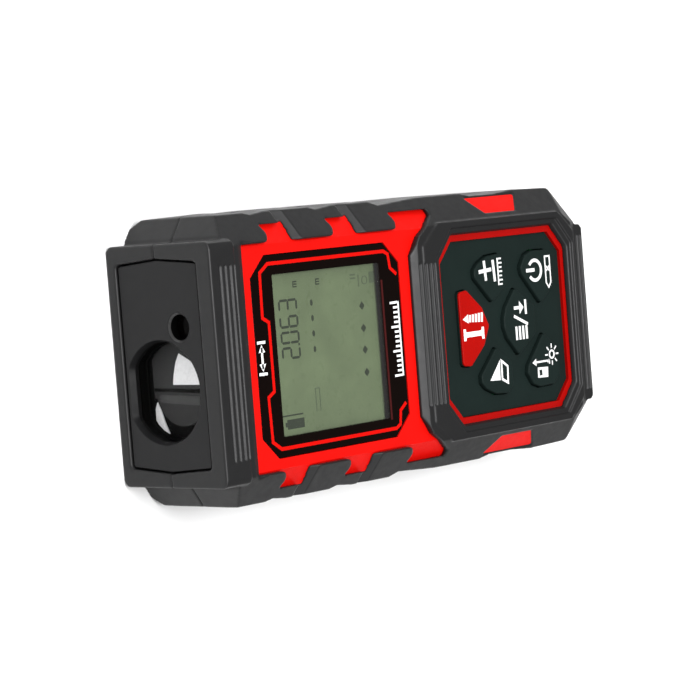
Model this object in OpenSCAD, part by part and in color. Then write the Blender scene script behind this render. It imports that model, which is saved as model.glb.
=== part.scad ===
// Hand-held laser distance meter, lying on its back with the display facing up.
// Frame: +X to the reader's right, +Y towards the laser end, +Z out of the display.
// The origin is the centre of the footprint, on the surface the meter lies on. Millimetres.

/* [Body] */
// Length over the nose collar and the rear block
body_l = 118; // [114:0.5:122]
// Width over the grip bumps
body_w = 57.2; // [56.6:0.1:58]
// Height of the nose collar, the thickest place
body_h = 28.3; // [28.2:0.1:28.6]
// Height of the line where the two halves meet
parting_z = 13.3; // [13:0.1:13.5]
// Wall of the two hard shells
wall = 1.7; // [1.5:0.1:1.8]

/* [Grip tabs] */
// Distance from one grip tab to the next
tab_pitch = 19; // [18.4:0.1:19.4]
// Front edge of the first grip tab
tab_front = 53.1; // [52.6:0.1:53.4]
// How far in from the side a tab reaches
tab_inner_x = 22.1; // [21.9:0.1:22.6]

/* [Nose] */
// Centre of the receiver lens, to the side of the middle
receiver_x = -5.05; // [-5.5:0.05:-4.8]
// Radius of the receiver opening
receiver_r = 10.2; // [9.8:0.1:10.2]
// Centre of the laser outlet, to the side of the middle
emitter_x = 7.4; // [7.3:0.1:8]
// Radius of the laser outlet
emitter_r = 2.7; // [2.2:0.1:2.7]

/* [Keys] */
// How far a key travels when it is pressed
key_travel = 0.6; // [0.4:0.05:0.6]
// Gap between a key and the mat round it
key_gap = 0.22; // [0.15:0.01:0.3]
// How far a key stands above the mat
key_rise = 0.9; // [0.7:0.05:1.1]

/* [Cells] */
// Diameter of one AAA cell
cell_d = 10.5; // [10:0.1:10.5]
// Length of one AAA cell with its button
cell_l = 44.5; // [43.5:0.1:44.5]

/* [Hidden] */

big = 200;
half_l = body_l / 2;
half_w = body_w / 2;
round_n = 48;

// Hard core: the outside of the two shells where the rubber is off.
core_x = 25.8;
core_nose_x = 22;
core_front_y = half_l - 2.6;
core_rear_y = -55;
core_corner_y = 50.6;
face_z = 26.4;
face_x = 21.8;
face_drop = 3;
back_z = 1.2;
floor_z = back_z + wall;
back_x = 22.3;
back_rise = 3.8;

// Rubber skin.
skin_front_y = half_l - 2.6;
skin_rear_y = -(half_l - 2.4);
skin_top_z = 27.9;
top_face_x = 22;
ramp_l = 1.9;
ramp_h = 1.45;
ring_top_z = 28.2;
lip_z = 27.55;
lip_w = 2;
side_top_z = 22.6;
side_low_z = 2.2;
draft = 0.45;
collar_x = 23.5;
block_x = 19.3;
block_low_z = 2.4;
block_top_z = 26.8;
cap_edge_y = 48.9;
ring_edge_y = -0.2;
back_cap_y = 50.5;
back_rear_cap_y = -53.6;

// Keypad octagon: the edge of the rubber ring, and the mat inside the red rim.
pad_x = 19.25;
pad_front_y = -9.7;
pad_rear_y = -51.3;
pad_cut_x = 4.8;
pad_cut_y = 4.2;
rim_x = 0.85;
rim_y = 0.45;
mat_x = pad_x - rim_x - 0.05;
mat_front_y = pad_front_y - rim_y - 0.05;
mat_rear_y = pad_rear_y + rim_y + 0.05;
mat_cut_x = pad_cut_x - 0.4;
mat_cut_y = pad_cut_y - 0.2;
mat_top_z = 25.8;
mat_low_z = 24;
mat_flange = 0.7;
key_flange_z = 23.4;
dome_h = 0.3;

// Display window octagon and the LCD under it.
window_x = 19.7;
window_front_y = 46.4;
window_rear_y = 2.9;
window_cut = 4.3;
window_low_z = 25.2;
window_top_z = 26.3;
gasket_t = 0.15;
ledge_low_z = 23.8;
lcd_front_y = 40.8;
lcd_rear_y = 8.0;
lcd_x = 16.8;

// Red windows beside the keypad.
accent_pts = [[23.65, -26.4], [28.6, -21.6], [28.6, -41.6], [23.65, -36.6]];
accent_low_z = 23.2;
accent_x = 27.5;

// Nose opening, a hexagon that is widest at the parting line.
nose_x = 19.85;
nose_bulge = 0.9;
nose_low_z = 2.4;
nose_top_z = 24.4;
nose_corner_r = 0.9;
plate_front_y = half_l - 0.5;
plate_back_y = half_l - 2.6;
hole_edge = 0.5;

// Optics.
receiver_z = 12.4;
receiver_flat_z = 3.5;
lens_r = 9.7;
lens_flat_z = 4.4;
lens_seat_y = 51.6;
lens_dome_r = 22;
lens_tube_y = plate_back_y - 0.1;
diode_board_y = 20.4;
pin_pitch = 2.54;
foot_z = 6;
emitter_z = 18.1;
barrel_r = 3;

// Board.
board_x = 16.6;
board_low_z = 20.8;
board_top_z = 22;
board_front_y = 41.6;
board_rear_y = -52.2;

// Battery bay and its door.
bay_x = 11.4;
bay_front_y = -1;
bay_rear_y = -49.2;
cell_x = 5.6;
cell_z = 7.95;
bay_roof_z = 13.5;
bay_wall = 2;
door_x = 12.3;
door_top_z = 2.5;
door_gap = 0.2;
hinge_y = -50.8;
hinge_z = 2.6;
knuckle_r = 1.4;
peg_r = 0.9;
peg_gap = 0.05;
contact_t = 0.3;

// Fasteners.
screw_spots = [[19.6, 46.5], [-19.6, 46.5], [19.9, -51], [-19.9, -51]];
screw_r = 1.05;
screw_head_r = 2.2;
screw_head_h = 1.4;
screw_seat_z = 3.2;
boss_r = 2.7;
board_screw_spots = [[15, -1.2], [-15, -1.2]];
optics_screw_spots = [[-14.4, 24], [4.2, 24], [10.6, 47]];

// Key outlines, anticlockwise, and the middle of each key, where it meets its dome.
// The left-hand side keys are the right-hand ones mirrored.
measure_pts = [
    [-4, -22.6], [0, -24.6], [4, -22.6], [8, -17.9], [7.7, -15.2], [-7.7, -15.2], [-8, -17.9]
];
upper_side_pts = [
    [8.2, -31.4], [13.2, -31.4], [14.9, -29.6], [14.6, -25.4], [13.2, -22.3], [11.9, -20.9], [10.3, -20.9],
    [4.8, -26.4]
];
lower_side_pts = [
    [6.4, -47.2], [12.6, -47.6], [14.6, -45.6], [14.7, -40.6], [13.9, -38.4], [11.4, -36.6], [9.8, -37],
    [3.2, -42.9]
];
memory_pts = [
    [-2.9, -40.4], [2.9, -40.4], [7.2, -34.2], [3.2, -30.6], [1, -29.7], [-1, -29.7], [-3.2, -30.6],
    [-7.2, -34.2]
];
measure_c = [0, -19.2];
upper_side_c = [10.9, -26.6];
lower_side_c = [10.2, -42.2];
memory_c = [0, -34.7];
key_corner_r = 0.9;

function flipped(pts) = [for (i = [len(pts) - 1:-1:0]) [-pts[i][0], pts[i][1]]];
function both_sides(pts) = concat(pts, flipped(pts));
function unit(v) = v / norm(v);

// The same outline with every corner turned into an arc of radius r.
function rounded(pts, r, steps = 5) = [
    for (i = [0:len(pts) - 1])
        let (
            p = pts[i],
            a = unit(pts[(i + len(pts) - 1) % len(pts)] - p),
            b = unit(pts[(i + 1) % len(pts)] - p),
            half = acos(a * b) / 2,
            centre = p + unit(a + b) * r / sin(half),
            reach = r / tan(half),
            u = p + a * reach - centre,
            v = p + b * reach - centre,
            sweep = acos(unit(u) * unit(v))
        )
        for (k = [0:steps])
            centre + (u * sin(sweep * (1 - k / steps)) + v * sin(sweep * k / steps)) / sin(sweep)
];

// The same outline moved outwards by g.
function grown(pts, g) = [
    for (i = [0:len(pts) - 1])
        let (
            a = unit(pts[i] - pts[(i + len(pts) - 1) % len(pts)]),
            b = unit(pts[(i + 1) % len(pts)] - pts[i]),
            n = [a[1] + b[1], -a[0] - b[0]]
        )
        pts[i] + n * g / (1 + a * b)
];

// An octagon from y0 to y1, symmetric about x = 0, with its corners cut by cx and cy.
function octagon(x, y0, y1, cx, cy) = both_sides(
    [[x - cx, y1], [x, y1 - cy], [x, y0 + cy], [x - cx, y0]]
);

// One ring of a tube of radius r that follows a path coiled about the Y direction.
function ring_at(path, i, r, sides) =
    let (
        d = unit(path[min(i + 1, len(path) - 1)] - path[max(i - 1, 0)]),
        s = unit(cross(d, [0, 1, 0])),
        t = cross(s, d)
    )
    [for (k = [0:sides - 1]) path[i] + r * (cos(360 * k / sides) * s + sin(360 * k / sides) * t)];

module tube(path, r, sides) {
    rings = len(path);
    pts = [for (i = [0:rings - 1]) each ring_at(path, i, r, sides)];
    walls = [
        for (i = [0:rings - 2]) for (k = [0:sides - 1])
            [
                i * sides + k, i * sides + (k + 1) % sides,
                (i + 1) * sides + (k + 1) % sides, (i + 1) * sides + k
            ]
    ];
    near = [[for (k = [sides - 1:-1:0]) k]];
    far = [[for (k = [0:sides - 1]) (rings - 1) * sides + k]];
    polyhedron(points = pts, faces = concat(walls, near, far));
}

// Prisms: an outline drawn in one view and extruded across it.
module prism_z(pts, z0, z1) {
    translate([0, 0, z0]) linear_extrude(z1 - z0) polygon(pts);
}

module prism_y(pts, y0, y1) {
    translate([0, y1, 0]) rotate([90, 0, 0]) linear_extrude(y1 - y0) polygon(pts);
}

module prism_x(pts, x0, x1) {
    translate([x0, 0, 0]) rotate([90, 0, 90]) linear_extrude(x1 - x0) polygon(pts);
}

module block(x0, x1, y0, y1, z0, z1) {
    translate([x0, y0, z0]) cube([x1 - x0, y1 - y0, z1 - z0]);
}

// A cylinder along Y from y0 to y1.
module rod_y(x, z, y0, y1, r, r_end = undef) {
    translate([x, y1, z]) rotate([90, 0, 0])
        cylinder(h = y1 - y0, r1 = is_undef(r_end) ? r : r_end, r2 = r, $fn = round_n);
}

module post(x, y, z0, z1, r) {
    translate([x, y, z0]) cylinder(h = z1 - z0, r = r, $fn = round_n);
}

module above_parting() {
    block(-big, big, -big, big, parting_z, big);
}

module below_parting() {
    block(-big, big, -big, big, -big, parting_z);
}

// Outside of the hard shells, both halves.
module core() {
    intersection() {
        prism_z(both_sides([
            [core_nose_x, core_front_y], [core_nose_x, 54.6], [core_x, core_corner_y],
            [core_x, -core_corner_y], [19.9, core_rear_y]
        ]), back_z, face_z);
        prism_y(both_sides([
            [face_x, face_z], [core_x, face_z - face_drop], [core_x, back_z + back_rise], [back_x, back_z]
        ]), -big, big);
    }
}

// Space inside the hard shells.
module cavity() {
    intersection() {
        prism_z(both_sides([
            [18.6, big], [18.6, 53.4], [22.4, 53.4], [core_x - wall, 49.8],
            [core_x - wall, -49.9], [19.6, -53.4]
        ]), back_z + wall, face_z - wall);
        prism_y(both_sides([
            [face_x - 0.6, face_z - wall], [core_x - wall, face_z - face_drop - 1.2],
            [core_x - wall, back_z + back_rise + 1.2], [back_x - 0.7, back_z + wall]
        ]), -big, big);
    }
}

// Nose opening, which the nose plate fills, grown by g.
function nose_outline(g) = rounded([
    [nose_x + g, nose_top_z + g], [nose_x + nose_bulge + g, parting_z], [nose_x + g, nose_low_z - g],
    [-nose_x - g, nose_low_z - g], [-nose_x - nose_bulge - g, parting_z], [-nose_x - g, nose_top_z + g]
], nose_corner_r);

// Plan outline of the rubber, one bump to each grip tab.
skin_side = [
    [collar_x - 0.3, skin_front_y], [collar_x - 0.3, 53.8], [24.1, 53.7], [28.2, 50.9], [half_w, 47],
    [half_w, 44.8], [27.7, 41.4], [half_w - 0.1, 34.4], [half_w - 0.1, 25.6], [27.6, 22.7],
    [half_w - 0.2, 15.8], [half_w - 0.2, 7], [27.3, 4.2], [28.1, -7.5], [28.3, -22.4], [27.5, -25.6],
    [27.5, -33.5], [28.1, -40.5], [27.8, -52.4], [20, skin_rear_y]
];

// Facet that cuts the top rear corner of the rubber, right-hand side.
module rear_corner_facet() {
    translate([20.9, -52.2, skin_top_z]) rotate([0, 40.5, -36]) block(-big, big, -big, big, 0, big);
}

module skin_body() {
    intersection() {
        difference() {
            prism_z(both_sides(skin_side), 0, skin_top_z);
            rear_corner_facet();
            mirror([1, 0, 0]) rear_corner_facet();
        }
        prism_y(both_sides([
            [top_face_x, skin_top_z], [half_w - draft, side_top_z], [half_w, parting_z],
            [half_w - draft, side_low_z], [26.6, 0]
        ]), -big, big);
        prism_x([
            [skin_front_y, 0], [skin_front_y, skin_top_z - 1], [skin_front_y - 1.2, skin_top_z],
            [50.6, skin_top_z - 0.1], [cap_edge_y, skin_top_z - 0.8], [cap_edge_y - 2, skin_top_z - 0.3],
            [ring_edge_y + 1, skin_top_z - 0.3], [ring_edge_y, skin_top_z - 0.9],
            [ring_edge_y - 1.7, skin_top_z], [-53.4, skin_top_z], [skin_rear_y, skin_top_z - 1.4],
            [skin_rear_y, 1.2], [skin_rear_y + 1.6, 0]
        ], -big, big);
    }
}

// The protruding frame round the nose plate.
module nose_collar() {
    prism_y(both_sides([
        [collar_x - 1.4, body_h], [collar_x - 0.4, body_h - 0.4], [collar_x, body_h - 1.4],
        [collar_x, 1], [collar_x - 1, 0]
    ]), 52, half_l);
}

// The measuring stop at the rear.
module rear_block() {
    prism_z(both_sides([[block_x, -54], [block_x, -half_l + 0.8], [block_x - 0.8, -half_l]]),
        block_low_z, block_top_z);
}

// A grip tab in plan, right-hand side: hollow front edge, barbed trailing edge.
function tab_outline(front, inner_x) = [
    [big, front + 0.9], [inner_x + 4.2, front + 0.8], [inner_x + 3.4, front + 0.1],
    [inner_x + 2.3, front - 0.3], [inner_x, front - 0.1], [inner_x, front - 10.5],
    [inner_x + 0.6, front - 11.6], [inner_x + 1.3, front - 12.3], [inner_x + 2.3, front - 12.4],
    [inner_x + 3.7, front - 11.9], [big, front - 11.9]
];

module tab_plan(fronts, inner_x) {
    for (front = fronts) {
        prism_z(tab_outline(front, inner_x), -1, body_h + 1);
        prism_z(flipped(tab_outline(front, inner_x)), -1, body_h + 1);
    }
}

module side_bands() {
    for (s = [-1, 1])
        translate([s * (core_x - 0.15 + big / 2), 0, body_h / 2]) cube([big, big, big], center = true);
}

// Where the face half of the rubber covers the red shell, in plan.
module face_cover() {
    side_bands();
    block(-big, big, cap_edge_y, big, -1, big);
    tab_plan([tab_front, tab_front - tab_pitch, tab_front - 2 * tab_pitch], tab_inner_x);
    prism_z(both_sides([
        [16.6, ring_edge_y], [18, ring_edge_y - 1], [20.2, -2.6], [22.3, -5.6], [24.4, -9.1], [big, -9.2],
        [big, -big]
    ]), -1, big);
}

// Sloping cuts that thin the front edge of each grip tab, right-hand side.
// The slope follows the chamfer of the rubber between its top face and its side.
module tab_ramps() {
    for (k = [1:2])
        translate([top_face_x, tab_front - k * tab_pitch, skin_top_z])
            rotate([0, atan2(skin_top_z - side_top_z, half_w - draft - top_face_x), 0])
                prism_x([[-ramp_l, 0.02], [0.6, -ramp_h], [1.2, -ramp_h], [1.2, 2], [-ramp_l, 2]], -1, 9);
}

// Windows in the rubber beside the keypad, through which the red shell shows.
module accent_windows() {
    for (pts = [accent_pts, flipped(accent_pts)]) prism_z(pts, accent_low_z, big);
}

// Ribbed grooves that run across the front cap, the keypad ring and the rear block.
module groove(y, half_x, z) {
    translate([0, y, z]) rotate([45, 0, 0]) cube([2 * half_x, 0.45, 0.45], center = true);
}

// The keypad opening in the rubber, grown by g.
module pad_opening(g, z0, z1) {
    prism_z(octagon(pad_x + g, pad_rear_y - g, pad_front_y + g, pad_cut_x + 0.4 * g, pad_cut_y + 0.4 * g),
        z0, z1);
}

module front_overmould() color([0.2, 0.2, 0.205]) {
    difference() {
        intersection() {
            union() {
                intersection() {
                    skin_body();
                    face_cover();
                }
                nose_collar();
                rear_block();
                // Raised band of the keypad ring.
                prism_z(octagon(22.6, -54, -3.4, 4.5, 5), 26, ring_top_z);
            }
            above_parting();
        }
        core();
        accent_windows();
        tab_ramps();
        mirror([1, 0, 0]) tab_ramps();
        prism_y(nose_outline(0), 0, big);
        // Keypad opening, wider at its top, and the lower lip round it.
        hull() {
            pad_opening(0, face_z - 1, face_z + 0.2);
            pad_opening(lip_w / 2, lip_z + 0.2, lip_z + 0.3);
        }
        pad_opening(lip_w, lip_z, big);
        for (y = [52, 53.5, 54.9]) groove(y, 18.7, skin_top_z);
        groove(-2.3, 14.6, skin_top_z);
        for (y = [-3.8, -5.2, -6.5]) groove(y, 14.6, ring_top_z);
        for (y = [-56.9, -58]) groove(y, 17, block_top_z);
        // Seam between the collar and the cap.
        groove(skin_front_y, 21.5, skin_top_z);
    }
}

module rear_overmould() color([0.2, 0.2, 0.205]) {
    difference() {
        intersection() {
            union() {
                intersection() {
                    skin_body();
                    union() {
                        side_bands();
                        block(-big, big, back_cap_y, big, -1, big);
                        block(-big, big, -big, back_rear_cap_y, -1, big);
                        tab_plan([for (k = [0:5]) tab_front - k * tab_pitch], tab_inner_x + 0.6);
                    }
                }
                nose_collar();
                rear_block();
            }
            below_parting();
        }
        core();
        prism_y(nose_outline(0), 0, big);
        for (y = [53, 54.6]) groove(y, 18.7, 0);
    }
}

// The outline of the display window, grown by g.
module window_octagon(g, z0, z1) {
    prism_z(octagon(window_x + g, window_rear_y - g, window_front_y + g, window_cut, window_cut), z0, z1);
}

module front_shell() color([0.86, 0.05, 0.05]) {
    difference() {
        union() {
            difference() {
                union() {
                    intersection() {
                        core();
                        above_parting();
                    }
                    // Pads that fill the windows in the rubber.
                    intersection() {
                        translate([0, 0, -0.35]) skin_body();
                        accent_windows();
                        block(-accent_x, accent_x, -big, big, 0, big);
                    }
                }
                cavity();
            }
            intersection() {
                for (p = screw_spots) post(p[0], p[1], parting_z, face_z - wall + 0.1, boss_r);
                core();
            }
            for (p = board_screw_spots) post(p[0], p[1], board_top_z, face_z - wall + 0.1, 1.6);
            // Ledge that carries the display window.
            window_octagon(0.6, ledge_low_z, face_z - 0.5);
        }
        for (p = screw_spots) post(p[0], p[1], parting_z - 1, 23.4, screw_r + 0.05);
        for (p = board_screw_spots) post(p[0], p[1], board_top_z - 1, 24.9, 0.75);
        prism_y(nose_outline(0.1), plate_back_y, big);
        // Window recess and the opening for the LCD.
        window_octagon(0.1, window_low_z - gasket_t, big);
        block(-lcd_x - 0.4, lcd_x + 0.4, lcd_rear_y - 0.4, lcd_front_y + 0.3, 20, big);
        // Keypad opening inside the red rim.
        prism_z(octagon(pad_x - rim_x, pad_rear_y + rim_y, pad_front_y - rim_y, mat_cut_x, mat_cut_y),
            20, big);
    }
}

module bay_walls() {
    difference() {
        block(-bay_x - bay_wall, bay_x + bay_wall, bay_rear_y - bay_wall, bay_front_y + bay_wall,
            door_top_z + 0.1, bay_roof_z + 1.2);
        block(-bay_x, bay_x, bay_rear_y, bay_front_y, 0, bay_roof_z);
        // Clearance for the door's knuckle.
        block(-door_x - 0.2, door_x + 0.2, -big, bay_rear_y + 0.1, 0, hinge_z + knuckle_r + 0.2);
    }
}

module rear_shell() color([0.86, 0.05, 0.05]) {
    difference() {
        union() {
            difference() {
                intersection() {
                    core();
                    below_parting();
                }
                cavity();
                block(-door_x - 0.2, door_x + 0.2, hinge_y - 1.6, bay_front_y + 0.2, 0, back_z + wall + 1);
            }
            bay_walls();
            optics_posts();
            for (p = screw_spots) post(p[0], p[1], back_z + 0.6, parting_z, boss_r);
            // Ears that hold the door's pegs.
            for (s = [-1, 1])
                translate([s * (door_x + 1.2), hinge_y + 0.3, hinge_z + 0.4])
                    cube([2, 4.4, 3.6], center = true);
        }
        for (p = screw_spots) {
            post(p[0], p[1], 0, screw_seat_z, screw_head_r + 0.2);
            post(p[0], p[1], 0, parting_z + 1, screw_r + 0.15);
        }
        for (p = optics_screw_spots) post(p[0], p[1], floor_z - 0.6, big, 0.75);
        translate([-door_x - 2.3, hinge_y, hinge_z]) rotate([0, 90, 0])
            cylinder(h = 2 * door_x + 4.6, r = peg_r + peg_gap, $fn = round_n);
        prism_y(nose_outline(0.1), plate_back_y, big);
        // Thumb notch in front of the door.
        translate([0, bay_front_y + 0.6, back_z - 5.2]) rotate([0, 90, 0])
            cylinder(h = 13, r = 6, center = true, $fn = round_n);
    }
}

// The receiver opening: round, cut off flat along its lower side.
module receiver_hole(y0, y1, r, r_end) {
    intersection() {
        rod_y(receiver_x, receiver_z, y0, y1, r, r_end);
        block(-big, big, -big, big, receiver_flat_z, big);
    }
}

module nose_plate() color([0.13, 0.13, 0.135]) {
    difference() {
        prism_y(nose_outline(-0.05), plate_back_y, plate_front_y);
        receiver_hole(plate_back_y - 1, plate_front_y, receiver_r, receiver_r);
        receiver_hole(plate_front_y - hole_edge, plate_front_y + 0.01, receiver_r, receiver_r + hole_edge);
        rod_y(emitter_x, emitter_z, plate_back_y - 1, plate_front_y, emitter_r);
        rod_y(emitter_x, emitter_z, plate_front_y - hole_edge, plate_front_y + 0.01,
            emitter_r, emitter_r + hole_edge);
    }
}

module display_window() color([0.05, 0.05, 0.06]) {
    window_octagon(0, window_low_z, window_top_z);
}

module window_gasket() color([0.1, 0.1, 0.1]) {
    difference() {
        window_octagon(-0.3, window_low_z - gasket_t, window_low_z);
        block(-lcd_x - 0.4, lcd_x + 0.4, lcd_rear_y - 0.4, lcd_front_y + 0.3, 20, big);
    }
}

module lcd_glass() color([0.46, 0.52, 0.4]) {
    block(-lcd_x, lcd_x, lcd_rear_y, lcd_front_y, 23.3, 24.7);
}

module lcd_backlight() color([0.9, 0.9, 0.88]) {
    block(-15.9, 15.9, lcd_rear_y + 0.8, 39, 22.3, 23.25);
}

module lcd_frame() color([0.88, 0.88, 0.86]) {
    difference() {
        block(-lcd_x - 0.3, lcd_x + 0.3, lcd_rear_y - 0.3, lcd_front_y + 0.2, board_top_z, 24.4);
        block(-lcd_x - 0.05, lcd_x + 0.05, lcd_rear_y - 0.05, lcd_front_y + 0.05, 23.28, 30);
        block(-16, 16, lcd_rear_y + 0.7, 39.1, 22.28, 30);
        block(-15.2, 15.2, 39.4, 40.3, 20, 30);
    }
}

module lcd_connector() color([0.85, 0.55, 0.6]) {
    block(-15.1, 15.1, 39.45, 40.25, board_top_z, 23.28);
}

// A key: cap above the mat, flange below it, and a nib that meets its dome.
module key(pts, c) {
    prism_z(rounded(pts, key_corner_r), key_flange_z, mat_top_z + key_rise);
    prism_z(rounded(grown(pts, 0.6), key_corner_r), key_flange_z, mat_low_z - 0.1);
    post(c[0], c[1], board_top_z + dome_h + key_travel + 0.05, key_flange_z, 1.5);
}

function flip_c(c) = [-c[0], c[1]];
key_outlines = [
    measure_pts, upper_side_pts, flipped(upper_side_pts), lower_side_pts, flipped(lower_side_pts),
    memory_pts
];
key_centres = [
    measure_c, upper_side_c, flip_c(upper_side_c), lower_side_c, flip_c(lower_side_c), memory_c
];

module measure_key() color([0.85, 0.04, 0.03]) key(measure_pts, measure_c);
module units_key() color([0.07, 0.09, 0.09]) key(upper_side_pts, upper_side_c);
module power_key() color([0.07, 0.09, 0.09]) key(lower_side_pts, lower_side_c);
module memory_key() color([0.07, 0.09, 0.09]) key(memory_pts, memory_c);
module area_key() color([0.07, 0.09, 0.09]) key(flipped(upper_side_pts), flip_c(upper_side_c));
module reference_key() color([0.07, 0.09, 0.09]) key(flipped(lower_side_pts), flip_c(lower_side_c));

// Mat that fills the keypad opening, with a flange under the shell.
module keypad_mat() color([0.07, 0.09, 0.09]) {
    difference() {
        union() {
            prism_z(octagon(mat_x, mat_rear_y, mat_front_y, mat_cut_x, mat_cut_y), mat_low_z, mat_top_z);
            prism_z(octagon(mat_x + mat_flange, mat_rear_y - mat_flange, mat_front_y + mat_flange,
                mat_cut_x, mat_cut_y), mat_low_z, face_z - wall - 0.05);
        }
        for (pts = key_outlines) prism_z(rounded(grown(pts, key_gap), key_corner_r), 20, big);
    }
}

module key_domes() color([0.8, 0.8, 0.82]) {
    for (c = key_centres) post(c[0], c[1], board_top_z, board_top_z + dome_h, 2.4);
}

module main_board() color([0.05, 0.3, 0.12]) {
    difference() {
        block(-board_x, board_x, board_rear_y, board_front_y, board_low_z, board_top_z);
        for (p = board_screw_spots) post(p[0], p[1], 0, big, 0.9);
    }
}

// Flat packages on the underside of the board: [x, y, width, length, height].
chips = [
    [0, -9, 9, 9, 1.2], [9.5, 7, 5, 5, 1], [-9.5, 6, 6, 4, 1.1], [11, -22, 4.4, 6, 1],
    [-10, -26, 3.2, 7, 1.6]
];
module board_chips() color([0.09, 0.09, 0.1]) {
    for (c = chips)
        translate([c[0], c[1], board_low_z - c[4] / 2]) cube([c[2], c[3], c[4]], center = true);
}

// Small capacitors and resistors in two rows.
module board_passives() color([0.7, 0.6, 0.45]) {
    for (k = [0:7]) for (x = [-5.5, 5.5])
        translate([x, -40 + 2.6 * k, board_low_z - 0.4]) cube([1.2, 2, 0.8], center = true);
}

// A screw along Z: the head's flat face at z, the shank pointing up from it.
module screw(x, y, z, head_r, head_h, shank_r, shank_l, slot_w) {
    difference() {
        union() {
            post(x, y, z - head_h, z, head_r);
            post(x, y, z - 0.1, z + shank_l, shank_r);
        }
        for (a = [0, 90])
            translate([x, y, z - head_h]) rotate([0, 0, a])
                cube([1.5 * head_r, slot_w, 1.2 * head_h], center = true);
    }
}

module board_screws() color([0.75, 0.75, 0.77]) {
    for (p = board_screw_spots) screw(p[0], p[1], board_low_z, 1.7, 0.9, 0.73, 3.6, 0.4);
}

module buzzer() color([0.08, 0.08, 0.08]) {
    difference() {
        post(0, 13, board_low_z - 3.2, board_low_z, 4.5);
        post(0, 13, board_low_z - 3.3, board_low_z - 2.6, 0.8);
    }
}

// The lens in outline, grown by g: round, with a flat along its lower side.
module lens_outline(y0, y1, g) {
    intersection() {
        rod_y(receiver_x, receiver_z, y0, y1, lens_r + g);
        block(-big, big, -big, big, lens_flat_z - g, big);
    }
}

// The optics block: lens tube, light cone, laser holder and three feet.
module optics_block() color([0.1, 0.1, 0.11]) {
    difference() {
        intersection() {
            union() {
                rod_y(receiver_x, receiver_z, 49, lens_tube_y, 10.4);
                rod_y(receiver_x, receiver_z, 22, 49, 4.2, 9.6);
                rod_y(receiver_x, receiver_z, diode_board_y + 0.05, 22.1, 4.2);
                rod_y(emitter_x, emitter_z, 44, 55.4, barrel_r + 1.1);
                // Bridge from the lens tube to the laser holder.
                block(-2, emitter_x + 3, 49.5, 55.2, 12, 17);
                // Feet.
                block(-16.6, 6.4, 21.8, 26.2, foot_z, foot_z + 1.4);
                block(-6.6, -3.5, 21.8, 26.2, foot_z, 9.5);
                block(0, 13, 44.8, 49.2, foot_z, foot_z + 1.4);
            }
            block(-big, big, -big, big, floor_z, 24);
        }
        lens_outline(lens_seat_y, big, 0.05);
        rod_y(receiver_x, receiver_z, 23.4, lens_seat_y + 0.01, 2.35, 7.6);
        rod_y(receiver_x, receiver_z, 0, 23.5, 2.35);
        rod_y(emitter_x, emitter_z, 0, big, barrel_r + 0.05);
        for (p = optics_screw_spots) post(p[0], p[1], 0, foot_z + 2, 0.95);
    }
}

// Posts on the rear shell that the optics block's feet sit on.
module optics_posts() {
    for (p = optics_screw_spots) post(p[0], p[1], floor_z - 0.1, foot_z, 2.1);
}

module receiver_lens() color([0.8, 0.85, 0.9, 0.4]) {
    intersection() {
        lens_outline(lens_seat_y, lens_seat_y + 3, 0);
        translate([receiver_x, lens_seat_y + 2.8 - lens_dome_r, receiver_z]) rotate([90, 0, 0])
            sphere(r = lens_dome_r, $fn = 96);
    }
}

module lens_ring() color([0.06, 0.06, 0.06]) {
    difference() {
        lens_outline(lens_seat_y + 1.7, lens_seat_y + 3.2, 0);
        lens_outline(0, big, -0.8);
    }
}

module photodiode() color([0.75, 0.7, 0.5]) {
    rod_y(receiver_x, receiver_z, diode_board_y, diode_board_y + 2.8, 2.3);
}

module photodiode_board() color([0.05, 0.3, 0.12]) {
    block(receiver_x - 8, receiver_x + 8, diode_board_y - 1.2, diode_board_y, 4.5, 19.2);
}

module board_link_pins() color([0.8, 0.7, 0.3]) {
    for (k = [-2:2])
        block(receiver_x + pin_pitch * k - 0.3, receiver_x + pin_pitch * k + 0.3,
            diode_board_y - 1.8, diode_board_y - 1.2, 15.5, board_low_z);
}

module laser_barrel() color([0.72, 0.58, 0.25]) {
    difference() {
        rod_y(emitter_x, emitter_z, 44.2, 55.4, barrel_r);
        rod_y(emitter_x, emitter_z, 53, big, 2.4);
        rod_y(emitter_x, emitter_z, 0, big, 1.6);
    }
}

module collimator_lens() color([0.8, 0.85, 0.9, 0.4]) {
    intersection() {
        rod_y(emitter_x, emitter_z, 53, 54.8, 2.35);
        translate([emitter_x, 49.8, emitter_z]) sphere(r = 5, $fn = 64);
    }
}

module laser_diode() color([0.8, 0.7, 0.35]) {
    difference() {
        union() {
            rod_y(emitter_x, emitter_z, 43, 44.2, 2.8);
            rod_y(emitter_x, emitter_z, 44.1, 46.2, 1.5);
        }
        rod_y(emitter_x, emitter_z, 46, 47, 0.6);
    }
    for (a = [90, 210, 330])
        rod_y(emitter_x + cos(a), emitter_z + sin(a), 40.6, 43, 0.23);
}

module emitter_window() color([0.5, 0.1, 0.1, 0.5]) {
    rod_y(emitter_x, emitter_z, 55.6, plate_back_y - 0.05, 3.2);
}

module optics_screws() color([0.75, 0.75, 0.77]) {
    for (p = optics_screw_spots)
        translate([p[0], p[1], foot_z + 1.4]) mirror([0, 0, 1]) screw(0, 0, 0, 1.6, 0.9, 0.73, 4, 0.4);
}

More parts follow.
